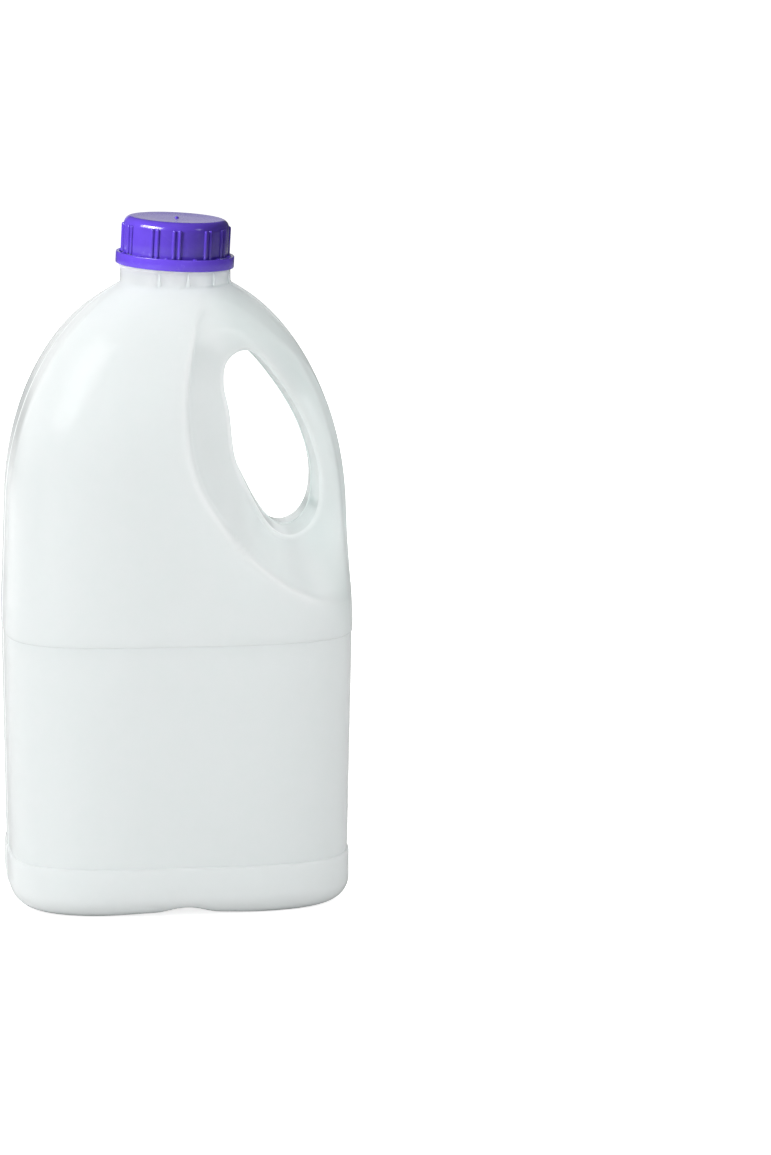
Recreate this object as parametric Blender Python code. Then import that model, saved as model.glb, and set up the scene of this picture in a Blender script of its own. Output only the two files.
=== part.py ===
"""Full plastic milk jug: a blow-moulded bottle with a grip hole, and a ribbed screw cap.

The jug stands on z = 0 with its wide front towards -Y and its handle towards +X.
The mould's parting plane is y = 0, so the front and the back are mirror images.
"""
import math

import bmesh
import bpy
import numpy as np

# ---- driving dimensions, in metres ----------------------------------------------------
WAIST_Z = 0.1035            # step between the label panel and the upper body
WAIST_EDGE = 0.0005         # half height of that step
BEAD_Z = 0.0204             # ledge on top of the base
BEAD_DROP = 0.0010
SHOULDER_END_Z = 0.2334     # where the shoulder meets the neck collar
HALF_WIDTH = 0.0657         # of the upper body at the waist
HALF_DEPTH = 0.0460
SIDE_TAPER = 0.037          # metres lost per metre of height, above the waist
WIDTH_ARC_Z = 0.1519        # where the sides begin to arch inwards
DEPTH_ARC_Z = 0.1680        # where the front begins to lean back
PANEL_INSET = 0.0006        # the label panel lies this far inside the upper body
PANEL_TAPER = 0.0145
BASE_HALF_WIDTH = 0.0642
BASE_HALF_DEPTH = 0.0447
BASE_ROUND = 0.0085         # radius of the bottom edge
CHANNEL_HALF_WIDTH = 0.0130  # shallow arch under the base, front to back
CHANNEL_HEIGHT = 0.0023
FOOT_SHARE = 0.78           # the flat foot ring reaches in to this share of the floor
PUSH_UP = 0.0040            # height of the hollow in the floor

COLLAR_RADIUS = 0.0206
COLLAR_TOP_Z = 0.2409
FINISH_RADIUS = 0.0176      # the threaded mouth, hidden in the cap
MOUTH_Z = 0.2540

# Plan section of the body at a few heights: z, half width of the flat end face, its crown,
# exponent of the corner curve, and the angle in degrees at which that curve starts.
SECTION_KEYS = (
    (0.0000, 0.0150, 0.0003, 4.0, 8.0),
    (0.0400, 0.0155, 0.0003, 3.8, 8.0),
    (0.1040, 0.0160, 0.0003, 3.5, 8.1),
    (0.1500, 0.0145, 0.0003, 3.3, 8.5),
    (0.1820, 0.0152, 0.0003, 2.9, 12.0),
    (0.1960, 0.0159, 0.0004, 2.6, 16.7),
    (0.2100, 0.0150, 0.0006, 2.35, 20.0),
    (0.2220, 0.0129, 0.0009, 2.2, 22.0),
    (0.2285, 0.0095, 0.0012, 2.05, 21.0),
    (SHOULDER_END_Z, 0.00705, 0.00124, 2.0, 20.0),
)

# Grip hole: its rim as x, z, seen from the front, anticlockwise from the left.
RIM_POINTS = (
    (0.0176, 0.1880), (0.0192, 0.1715), (0.0250, 0.1580), (0.0315, 0.1465),
    (0.0370, 0.1412), (0.0430, 0.1403), (0.0488, 0.1442), (0.0520, 0.1520),
    (0.0520, 0.1640), (0.0485, 0.1770), (0.0432, 0.1882), (0.0352, 0.1996),
    (0.0270, 0.2093), (0.0215, 0.2111), (0.0168, 0.2075), (0.0162, 0.1990),
)
RIM_DRAFT = 0.0010          # the hole is this much smaller at the parting plane
RIM_ROUND = 0.0028
HANDLE_HALF_DEPTH = 0.0185
HANDLE_ROUND = 0.0060       # outer edges of the handle
HANDLE_FACE_HALF = HANDLE_HALF_DEPTH - HANDLE_ROUND

# Hand recess round the hole: a superellipse outline, cut to a sloping floor.
RECESS_CENTRE = (0.0520, 0.1947)
RECESS_REACH = 0.0533       # to the left
RECESS_DROP = 0.0765        # downwards
RECESS_RISE = 0.0700        # upwards
RECESS_EXPONENT = 1.76
RECESS_STEP = 0.0075        # height of the steep edge of the recess
RECESS_STEP_RUN = 0.0032
STEP_FADE_X = 0.0160        # from here on to the right the edge gets lower
STEP_FADE_RUN = 0.0300
STEP_LEFT = 0.06            # share of the edge's height that is left at its lower right
RECESS_FLOOR_CURVE = 1.2
CUT_MARGIN = 0.0060         # how far the cutter stands out of the body

# Screw cap with its tamper band.
CAP_RADIUS = 0.0197
CAP_TOP_Z = 0.2578
CAP_BOTTOM_Z = 0.2442
CAP_WALL = 0.0017
CAP_CEILING_Z = 0.2543
CAP_SHOULDER_RUN = 0.0028
CAP_SHOULDER_DROP = 0.0034
CAP_RIB_RADIUS = 0.00055
CAP_RIB_TOP_Z = 0.2552
CAP_RIB_LIFT = 0.0002       # from the drum's lower edge to the ribs' lower end
CAP_RIB_GROUPS = 6          # each group holds two pairs of ribs
CAP_RIB_PAIR_STEP = 24.0    # degrees between the two pairs of a group
CAP_RIB_TWIN_STEP = 6.2     # degrees between the ribs of a pair
CAP_RIB_START = 3.0         # where the first pair stands, in degrees from +X
BAND_INNER = 0.0212
BAND_OUTER = 0.0221
BAND_BOTTOM_Z = 0.2402
BAND_TOP_Z = 0.2445
BAND_EDGE = 0.00025
BRIDGES = 12                # tear-off pins between the drum and the band
BRIDGE_WIDTH = 0.0010
BRIDGE_HEIGHT = 0.0007
BRIDGE_ROOT = 0.0004        # how far a pin reaches into the drum and into the band

# Mesh fineness.
FACE_STEPS = 3              # across half of the flat end face
CORNER_STEPS = 14           # from its edge to the middle of the front
PANEL_ROWS = 3
SHOULDER_ROWS = 24
GRIP_RAYS = 60
CAP_SEGMENTS = 72

HALF_STEPS = 2 * (FACE_STEPS + CORNER_STEPS)
RING_SIZE = 2 * HALF_STEPS


# ---- curves ---------------------------------------------------------------------------
def blend_keys(keys, z):
    """Smooth curve through the rows of a key table, read at height z."""
    heights = [row[0] for row in keys]
    z = min(max(z, heights[0]), heights[-1])
    i = min(max(int(np.searchsorted(heights, z)) - 1, 0), len(keys) - 2)
    span = heights[i + 1] - heights[i]
    t = (z - heights[i]) / span
    values = []
    for column in range(1, len(keys[0])):
        here = keys[i][column]
        there = keys[i + 1][column]
        slope_in = (there - keys[max(i - 1, 0)][column]) / (heights[i + 1] - heights[max(i - 1, 0)])
        last = min(i + 2, len(keys) - 1)
        slope_out = (keys[last][column] - here) / (heights[last] - heights[i])
        values.append(
            (2 * t ** 3 - 3 * t ** 2 + 1) * here
            + (t ** 3 - 2 * t ** 2 + t) * span * slope_in
            + (3 * t ** 2 - 2 * t ** 3) * there
            + (t ** 3 - t ** 2) * span * slope_out
        )
    return values


def closed_curve(points, steps):
    """Closed smooth curve through the points, with some steps between neighbours."""
    corners = np.array(points)
    before, after, beyond = (np.roll(corners, shift, axis=0) for shift in (1, -1, -2))
    curve = []
    for i in range(len(corners)):
        for step in range(steps):
            t = step / steps
            curve.append(0.5 * (
                2 * corners[i]
                + (after[i] - before[i]) * t
                + (2 * before[i] - 5 * corners[i] + 4 * after[i] - beyond[i]) * t ** 2
                + (3 * corners[i] - before[i] - 3 * after[i] + beyond[i]) * t ** 3
            ))
    return np.array(curve)


def ease(t):
    t = min(max(t, 0.0), 1.0)
    return t * t * (3 - 2 * t)


# ---- body form ------------------------------------------------------------------------
def shoulder_arch(z, start, end_share):
    """Part of an ellipse that falls from 1 at the start height to end_share at the collar."""
    rise = (SHOULDER_END_Z - start) / math.sqrt(1 - end_share ** 2)
    return math.sqrt(1 - (max(z - start, 0.0) / rise) ** 2)


def half_width(z):
    """Half width of the jug at height z, in the parting plane."""
    if z < WAIST_Z:
        return HALF_WIDTH - PANEL_INSET - PANEL_TAPER * (WAIST_Z - z)
    width = HALF_WIDTH - SIDE_TAPER * (z - WAIST_Z)
    end_share = COLLAR_RADIUS / (HALF_WIDTH - SIDE_TAPER * (SHOULDER_END_Z - WAIST_Z))
    return width * shoulder_arch(z, WIDTH_ARC_Z, end_share)


def half_depth(z):
    """Half depth of the jug at height z, in its middle."""
    if z < WAIST_Z:
        return HALF_DEPTH - PANEL_INSET - 0.7 * PANEL_TAPER * (WAIST_Z - z)
    return HALF_DEPTH * shoulder_arch(z, DEPTH_ARC_Z, COLLAR_RADIUS / HALF_DEPTH)


def end_face_half(z, face_half, side):
    """Half width of the flat end face; the handle's is narrower than the other end's."""
    if side < 0:
        return face_half
    narrowed = ease((z - 0.112) / 0.030)
    return face_half + narrowed * (min(face_half, HANDLE_FACE_HALF) - face_half)


def quarter_section(z, width, depth, side):
    """Points of a quarter of the plan section, from the end face to the front's middle."""
    face_half, crown, exponent, start = blend_keys(SECTION_KEYS, z)
    face_half = end_face_half(z, face_half, side)
    start = math.radians(start)
    power = 2 / exponent
    points = []
    for step in range(FACE_STEPS):
        share = step / FACE_STEPS
        points.append((width - crown * share ** 2, face_half * share))
    for step in range(CORNER_STEPS + 1):
        angle = start + (math.pi / 2 - start) * step / CORNER_STEPS
        across = max(math.cos(angle), 0.0) ** power / math.cos(start) ** power
        sine = math.sin(angle) ** power
        sine_start = math.sin(start) ** power
        forward = (sine - sine_start) / (1 - sine_start)
        points.append(((width - crown) * across, face_half + (depth - face_half) * forward))
    return points


RIM = closed_curve(RIM_POINTS, 8)


def body_depth(x, z):
    """Half depth of the body at x, z before the hand recess is pressed in."""
    xs, ys = zip(*reversed(quarter_section(z, half_width(z), half_depth(z), 1)))
    return float(np.interp(x, xs, ys))


def inside_recess(x, z):
    across = abs(x - RECESS_CENTRE[0]) / RECESS_REACH
    height = RECESS_RISE if z > RECESS_CENTRE[1] else RECESS_DROP
    up = abs(z - RECESS_CENTRE[1]) / height
    return across ** RECESS_EXPONENT + up ** RECESS_EXPONENT < 1


def side_distance(x, z):
    """Distance from x, z to the handle's outer edge, in the parting plane."""
    z = min(z, SHOULDER_END_Z)
    slope = (half_width(z) - half_width(z - 0.0010)) / 0.0010
    return (half_width(z) - x) / math.sqrt(1 + slope ** 2)


def step_share(x):
    """The recess has a steep edge on the left, which runs out towards its lower right."""
    return 1 - (1 - STEP_LEFT) * ease((x - STEP_FADE_X) / STEP_FADE_RUN)


def recess_floor(x, z, share):
    """Depth of the recess floor; share runs from 0 at the rim to 1 at the foot of the step."""
    foot = body_depth(x, min(z, SHOULDER_END_Z)) - RECESS_STEP * step_share(x)
    floor = HANDLE_HALF_DEPTH + max(foot - HANDLE_HALF_DEPTH, 0.0) * share ** RECESS_FLOOR_CURVE
    missing = min(max(HANDLE_ROUND - side_distance(x, z), 0.0), HANDLE_ROUND)
    rounding = HANDLE_ROUND - math.sqrt(HANDLE_ROUND ** 2 - missing ** 2)
    return floor - rounding * (1 - share)


def body_ring(z, width, depth):
    """One closed ring of the body: right end, front, left end, back."""
    right = quarter_section(z, width, depth, 1)
    left = quarter_section(z, width, depth, -1)
    front = [(x, -y) for x, y in right] + [(-x, -y) for x, y in reversed(left[:-1])]
    back = [(x, -y) for x, y in reversed(front[1:-1])]
    return [(x, y, z) for x, y in front + back]


def circle_ring(z, radius):
    """A round ring whose stations stand at the same angles as those of the neck."""
    ring = body_ring(SHOULDER_END_Z, COLLAR_RADIUS, COLLAR_RADIUS)
    scale = radius / COLLAR_RADIUS
    return [(x * scale, y * scale, z) for x, y, _ in ring]


def channel_lift(x, z):
    """Height added by the shallow arch that crosses under the base."""
    if abs(x) > CHANNEL_HALF_WIDTH:
        return 0.0
    arch = 0.5 + 0.5 * math.cos(math.pi * x / CHANNEL_HALF_WIDTH)
    return CHANNEL_HEIGHT * arch * max(1 - z / BASE_ROUND, 0.0) ** 2


def base_rings():
    """Floor, rounded bottom edge, base wall and ledge."""
    foot = body_ring(0.0, BASE_HALF_WIDTH - BASE_ROUND, BASE_HALF_DEPTH - BASE_ROUND)
    rings = []
    for share in (0.30, 0.60, FOOT_SHARE, 1.0):
        height = PUSH_UP * max(1 - (share / FOOT_SHARE) ** 2, 0.0)
        rings.append([(x * share, y * share, height) for x, y, _ in foot])
    for angle in (22.5, 45.0, 67.5, 90.0):
        inset = BASE_ROUND * (1 - math.sin(math.radians(angle)))
        height = BASE_ROUND * (1 - math.cos(math.radians(angle)))
        rings.append(body_ring(height, BASE_HALF_WIDTH - inset, BASE_HALF_DEPTH - inset))
    rings.append(body_ring(BEAD_Z - BEAD_DROP, BASE_HALF_WIDTH, BASE_HALF_DEPTH))
    return [[(x, y, z + channel_lift(x, z)) for x, y, z in ring] for ring in rings]


def body_heights():
    """Heights of the rings from the ledge to the shoulder's end."""
    panel_rise = (WAIST_Z - BEAD_Z) / PANEL_ROWS
    panel = [BEAD_Z + panel_rise * row for row in range(PANEL_ROWS)] + [WAIST_Z - WAIST_EDGE]
    upper_rise = SHOULDER_END_Z - WAIST_Z - WAIST_EDGE
    for row in range(SHOULDER_ROWS + 1):
        panel.append(WAIST_Z + WAIST_EDGE + upper_rise * math.sin(math.pi / 2 * row / SHOULDER_ROWS))
    return panel


def neck_rings():
    return [
        circle_ring(COLLAR_TOP_Z, COLLAR_RADIUS),
        circle_ring(COLLAR_TOP_Z + 0.0004, FINISH_RADIUS),
        circle_ring(MOUTH_Z - 0.0008, FINISH_RADIUS),
        circle_ring(MOUTH_Z, FINISH_RADIUS - 0.0008),
    ]


# ---- mesh helpers ---------------------------------------------------------------------
def add_ring(bm, points):
    return [bm.verts.new(point) for point in points]


def bridge(bm, low, high):
    """Quads between two rings of equal size."""
    count = len(low)
    for i in range(count):
        bm.faces.new((low[i], low[(i + 1) % count], high[(i + 1) % count], high[i]))


def close_ring(bm, ring, centre, upwards):
    """Fan of triangles from a ring to a middle point."""
    middle = bm.verts.new(centre)
    count = len(ring)
    for i in range(count):
        pair = (ring[i], ring[(i + 1) % count])
        bm.faces.new((*pair, middle) if upwards else (*reversed(pair), middle))


def finish_object(bm, name, material, sharp_degrees):
    bmesh.ops.recalc_face_normals(bm, faces=bm.faces)
    mesh = bpy.data.meshes.new(name)
    bm.to_mesh(mesh)
    bm.free()
    mesh.materials.append(material)
    mesh.shade_smooth()
    mesh.set_sharp_from_angle(angle=math.radians(sharp_degrees))
    made = bpy.data.objects.new(name, mesh)
    bpy.context.collection.objects.link(made)
    return made


def combine(target, pieces, operation):
    """Boolean of the pieces with the target; the pieces are then removed."""
    group = bpy.data.collections.new("pieces")
    bpy.context.scene.collection.children.link(group)
    for piece in pieces:
        group.objects.link(piece)
    boolean = target.modifiers.new("combine", "BOOLEAN")
    boolean.operation = operation
    boolean.operand_type = "COLLECTION"
    boolean.collection = group
    bpy.context.view_layer.update()
    result = bpy.data.meshes.new_from_object(target.evaluated_get(bpy.context.evaluated_depsgraph_get()))
    target.modifiers.clear()
    target.data = result
    for piece in pieces:
        bpy.data.objects.remove(piece)
    bpy.data.collections.remove(group)


def plastic(name, colour, roughness):
    material = bpy.data.materials.new(name)
    material.use_nodes = True
    shader = material.node_tree.nodes["Principled BSDF"]
    shader.inputs["Base Color"].default_value = (*colour, 1.0)
    shader.inputs["Roughness"].default_value = roughness
    shader.inputs["Metallic"].default_value = 0.0
    return material


# ---- bottle ---------------------------------------------------------------------------
def rim_station(middle, ray):
    """Point of the rim seen from its middle along a ray, and the rim's outward normal there."""
    angles = np.arctan2(RIM[:, 1] - middle[1], RIM[:, 0] - middle[0])
    turns = (angles - ray + math.pi) % (2 * math.pi) - math.pi
    after = int(np.argmin(np.where(turns >= 0, turns, 9.0)))
    before = (after - 1) % len(RIM)
    share = -turns[before] / (turns[after] - turns[before])
    run = RIM[after] - RIM[before]
    normal = np.array((run[1], -run[0])) / np.hypot(*run)
    return RIM[before] + run * share, normal


def reach_along(start, direction, still_inside, limit=0.12):
    """Distance along a ray at which still_inside turns false."""
    low, high = 0.0, limit
    for _ in range(30):
        middle = (low + high) / 2
        place = start + direction * middle
        if still_inside(*place):
            low = middle
        else:
            high = middle
    return low


def grip_ray(middle, angle):
    """Points x, depth, z of the grip's surface along one ray, from the parting plane outwards."""
    rim, normal = rim_station(middle, angle)
    ray = np.array((math.cos(angle), math.sin(angle)))
    lip = rim + normal * RIM_ROUND
    edge = reach_along(middle, ray, inside_recess)
    step = step_share(middle[0] + ray[0] * edge)
    foot = middle + ray * (edge - RECESS_STEP_RUN * step)
    run = foot - lip
    length = float(np.hypot(*run))
    run /= length
    handle_start = reach_along(lip, run, lambda x, z: side_distance(x, z) > HANDLE_ROUND)
    handle_end = reach_along(lip, run, lambda x, z: side_distance(x, z) > 0)
    start = min(handle_start, 0.70 * length)
    end = min(handle_end, 0.94 * length)
    distances = [start * share for share in (0.33, 0.67, 1.0)]
    distances += [start + (end - start) * share for share in (0.3, 0.55, 0.78, 1.0)]
    distances.append(length)

    wall = HANDLE_HALF_DEPTH - RIM_ROUND
    points = [(rim - normal * RIM_DRAFT, 0.0), (rim - normal * RIM_DRAFT * 0.5, wall * 0.5)]
    for turn in (90.0, 60.0, 30.0, 0.0):
        sine, cosine = math.sin(math.radians(turn)), math.cos(math.radians(turn))
        points.append((rim + normal * RIM_ROUND * (1 - sine), wall + RIM_ROUND * cosine))
    for distance in distances:
        place = lip + run * distance
        points.append((place, recess_floor(*place, distance / length)))
    overshoot = RECESS_STEP * step + CUT_MARGIN
    outside = foot + ray * overshoot * RECESS_STEP_RUN / RECESS_STEP
    points.append((outside, points[-1][1] + overshoot))
    points.append((outside, HALF_DEPTH + 2 * CUT_MARGIN))
    return points


def grip_cutter(material):
    """Spool-shaped solid that presses both hand recesses and the hole between them."""
    bm = bmesh.new()
    middle = RIM.mean(axis=0)
    rays = [grip_ray(middle, 2 * math.pi * i / GRIP_RAYS) for i in range(GRIP_RAYS)]
    loops = []
    for level in reversed(range(1, len(rays[0]))):
        loops.append([bm.verts.new((ray[level][0][0], -ray[level][1], ray[level][0][1])) for ray in rays])
    for level in range(len(rays[0])):
        loops.append([bm.verts.new((ray[level][0][0], ray[level][1], ray[level][0][1])) for ray in rays])
    for front, back in zip(loops, loops[1:]):
        bridge(bm, front, back)
    bm.faces.new(loops[0])
    bm.faces.new(loops[-1])
    return finish_object(bm, "grip cutter", material, 30.0)


def make_bottle(material):
    bm = bmesh.new()
    body = [body_ring(z, half_width(z), half_depth(z)) for z in body_heights()]
    rings = [add_ring(bm, points) for points in base_rings() + body + neck_rings()]
    for low, high in zip(rings, rings[1:]):
        bridge(bm, low, high)
    close_ring(bm, rings[0], (0.0, 0.0, PUSH_UP + CHANNEL_HEIGHT), False)
    close_ring(bm, rings[-1], (0.0, 0.0, MOUTH_Z), True)
    bottle = finish_object(bm, "bottle", material, 35.0)
    combine(bottle, [grip_cutter(material)], "DIFFERENCE")
    bottle.data.set_sharp_from_angle(angle=math.radians(35.0))
    return bottle


# ---- cap ------------------------------------------------------------------------------
def turned(name, profile, material, sharp_degrees):
    """Solid of revolution from a closed profile of radius and height pairs."""
    bm = bmesh.new()
    angles = [2 * math.pi * i / CAP_SEGMENTS for i in range(CAP_SEGMENTS)]
    rings = []
    for radius, height in profile:
        if radius == 0.0:
            rings.append([bm.verts.new((0.0, 0.0, height))])
        else:
            rings.append([bm.verts.new((radius * math.cos(a), radius * math.sin(a), height)) for a in angles])
    pairs = list(zip(rings, rings[1:]))
    if profile[0][0] > 0.0:
        pairs.append((rings[-1], rings[0]))
    for low, high in pairs:
        for i in range(CAP_SEGMENTS):
            j = (i + 1) % CAP_SEGMENTS
            corners = [low[i % len(low)], low[j % len(low)], high[j % len(high)], high[i % len(high)]]
            bm.faces.new(list(dict.fromkeys(corners)))
    return finish_object(bm, name, material, sharp_degrees)


def cap_drum(material):
    """Cup of the cap: inside up, over the rounded shoulder and down the outer wall."""
    inner = CAP_RADIUS - CAP_WALL
    profile = [(0.0, CAP_CEILING_Z), (inner - 0.0004, CAP_CEILING_Z), (inner, CAP_CEILING_Z - 0.0004)]
    profile += [(inner, CAP_BOTTOM_Z), (CAP_RADIUS, CAP_BOTTOM_Z)]
    for angle in (0, 22.5, 45, 67.5, 90):
        turn = math.radians(angle)
        profile.append((
            CAP_RADIUS - CAP_SHOULDER_RUN * (1 - math.cos(turn)),
            CAP_TOP_Z - CAP_SHOULDER_DROP * (1 - math.sin(turn)),
        ))
    profile.append((0.0, CAP_TOP_Z))
    return turned("cap", profile, material, 30.0)


def tamper_band(material):
    profile = [
        (BAND_INNER, BAND_BOTTOM_Z),
        (BAND_OUTER - BAND_EDGE, BAND_BOTTOM_Z),
        (BAND_OUTER, BAND_BOTTOM_Z + BAND_EDGE),
        (BAND_OUTER, BAND_TOP_Z - BAND_EDGE),
        (BAND_OUTER - BAND_EDGE, BAND_TOP_Z),
        (BAND_INNER, BAND_TOP_Z),
    ]
    return turned("band", profile, material, 30.0)


def rib_angles():
    """Two pairs of ribs in each sixth of the cap."""
    group = 360.0 / CAP_RIB_GROUPS
    for index in range(CAP_RIB_GROUPS):
        for pair in (0.0, CAP_RIB_PAIR_STEP):
            for twin in (-0.5, 0.5):
                yield math.radians(CAP_RIB_START + index * group + pair + twin * CAP_RIB_TWIN_STEP)


def cap_rib(angle, material):
    """Upright half-round bar on the drum, domed at its top and sunk into the wall."""
    bm = bmesh.new()
    sides = 8
    sink = CAP_RADIUS - 0.0001
    levels = [
        (CAP_BOTTOM_Z + CAP_RIB_LIFT, 1.0),
        (CAP_RIB_TOP_Z - CAP_RIB_RADIUS, 1.0),
        (CAP_RIB_TOP_Z - 0.2 * CAP_RIB_RADIUS, 0.7),
    ]
    rings = []
    for height, share in levels:
        ring = []
        for i in range(sides):
            turn = 2 * math.pi * (i + 0.5) / sides
            out = sink + CAP_RIB_RADIUS * share * math.cos(turn)
            across = CAP_RIB_RADIUS * share * math.sin(turn)
            ring.append(bm.verts.new((
                out * math.cos(angle) - across * math.sin(angle),
                out * math.sin(angle) + across * math.cos(angle),
                height,
            )))
        rings.append(ring)
    bm.faces.new(list(reversed(rings[0])))
    for low, high in zip(rings, rings[1:]):
        bridge(bm, low, high)
    bm.faces.new(rings[-1])
    return finish_object(bm, "rib", material, 60.0)


def band_bridge(angle, material):
    """Small tear-off pin between the drum and the tamper band, level with the band's top."""
    bm = bmesh.new()
    bmesh.ops.create_cube(bm, size=1.0)
    reach = BAND_INNER - CAP_RADIUS + 2 * BRIDGE_ROOT
    middle = (BAND_INNER + CAP_RADIUS) / 2
    for vertex in bm.verts:
        out = middle + vertex.co.x * reach
        across = vertex.co.y * BRIDGE_WIDTH
        vertex.co = (
            out * math.cos(angle) - across * math.sin(angle),
            out * math.sin(angle) + across * math.cos(angle),
            BAND_TOP_Z + vertex.co.z * BRIDGE_HEIGHT,
        )
    return finish_object(bm, "bridge", material, 30.0)


def make_cap(material):
    drum = cap_drum(material)
    pieces = [tamper_band(material)]
    pieces += [cap_rib(angle, material) for angle in rib_angles()]
    pieces += [band_bridge(2 * math.pi * (i + 0.5) / BRIDGES, material) for i in range(BRIDGES)]
    combine(drum, pieces, "UNION")
    return drum


def build():
    for leftover in list(bpy.data.objects):
        bpy.data.objects.remove(leftover)
    milky = plastic("milk white plastic", (0.80, 0.84, 0.83), 0.35)
    violet = plastic("violet plastic", (0.11, 0.05, 0.68), 0.25)
    make_bottle(milky)
    make_cap(violet)


build()
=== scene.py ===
import math

import bpy
import numpy as np
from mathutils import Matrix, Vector


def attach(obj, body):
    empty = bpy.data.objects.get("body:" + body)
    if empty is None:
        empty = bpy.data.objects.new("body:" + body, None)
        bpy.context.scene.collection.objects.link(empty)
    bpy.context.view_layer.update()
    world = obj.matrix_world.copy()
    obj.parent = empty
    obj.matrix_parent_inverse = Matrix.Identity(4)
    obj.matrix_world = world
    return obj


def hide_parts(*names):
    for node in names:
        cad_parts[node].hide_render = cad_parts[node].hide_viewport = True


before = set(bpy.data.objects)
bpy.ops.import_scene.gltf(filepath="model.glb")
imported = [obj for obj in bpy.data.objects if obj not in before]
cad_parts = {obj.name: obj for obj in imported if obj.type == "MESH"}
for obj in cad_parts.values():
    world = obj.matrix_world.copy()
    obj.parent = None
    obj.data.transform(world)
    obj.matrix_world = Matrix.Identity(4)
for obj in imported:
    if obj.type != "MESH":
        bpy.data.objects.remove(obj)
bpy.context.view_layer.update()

print("frame loaded:", sorted(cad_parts))


# small helpers

def startFresh():
    # every operator below acts on the selection, so it starts from nothing
    bpy.ops.object.select_all(action="DESELECT")


def pick(obj):
    startFresh()
    obj.select_set(True)
    bpy.context.view_layer.objects.active = obj


def joinPieces(name, pieces):
    pick(pieces[0])
    for piece in pieces:
        piece.select_set(True)
    bpy.ops.object.join()
    joined = bpy.context.object
    joined.name = joined.data.name = name
    return joined


def editWhole(obj):
    pick(obj)
    bpy.ops.object.mode_set(mode="EDIT")
    bpy.ops.mesh.select_all(action="SELECT")


def closeMesh(obj, gap=0.000001):
    # weld what meets, then turn every face outwards
    editWhole(obj)
    bpy.ops.mesh.remove_doubles(threshold=gap)
    bpy.ops.mesh.normals_make_consistent(inside=False)
    bpy.ops.object.mode_set(mode="OBJECT")


def applyPlace(obj):
    pick(obj)
    bpy.ops.object.transform_apply(location=True, rotation=True, scale=True)


def copyTurned(source, degrees):
    # a copy with its own mesh, swung round the jug's upright axis
    copy = source.copy()
    copy.data = source.data.copy()
    bpy.context.collection.objects.link(copy)
    copy.rotation_euler = (0, 0, math.radians(degrees))
    applyPlace(copy)
    return copy


def roundEdges(obj, width, segments, sharperThan=30):
    # a bevel on the edges sharper than an angle in degrees
    bevel = obj.modifiers.new("round", "BEVEL")
    bevel.width = width
    bevel.segments = segments
    bevel.limit_method = "ANGLE"
    bevel.angle_limit = math.radians(sharperThan)
    pick(obj)
    bpy.ops.object.modifier_apply(modifier="round")


def ease(t):
    t = np.clip(t, 0.0, 1.0)
    return t * t * (3 - 2 * t)


def easeFrom(value, start, run):
    # grows from 0 at the start to 1 a run further on, or the other way for a run below zero
    return ease((value - start) / run)


def arc(turns):
    # cosine and sine of each turn, given in degrees
    return [(math.cos(math.radians(turn)), math.sin(math.radians(turn))) for turn in turns]


def softMin(a, b, width):
    # the lower of two values, with the corner between them rounded
    near = np.clip(width - np.abs(a - b), 0.0, None)
    return np.minimum(a, b) - near ** 2 / np.maximum(4 * width, 1e-9)


def setInputs(node, values):
    for name, value in values.items():
        node.inputs[name].default_value = value


def newMaterial(name, values):
    material = bpy.data.materials.new(name)
    material.use_nodes = True
    shader = material.node_tree.nodes["Principled BSDF"]
    setInputs(shader, values)
    return material, shader


def addMaths(tree, operation, first, second):
    node = tree.nodes.new("ShaderNodeMath")
    node.operation = operation
    for socket, value in zip(node.inputs, (first, second)):
        if isinstance(value, float):
            socket.default_value = value
        else:
            tree.links.new(value, socket)
    return node.outputs[0]


def addRange(tree, value, source=(0.0, 1.0), target=(0.0, 1.0), shape="LINEAR"):
    # one range of values spread over another
    node = tree.nodes.new("ShaderNodeMapRange")
    node.interpolation_type = shape
    setInputs(node, dict(zip(("From Min", "From Max", "To Min", "To Max"), (*source, *target))))
    tree.links.new(value, node.inputs["Value"])
    return node.outputs["Result"]


# camera, floor and studio light

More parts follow.
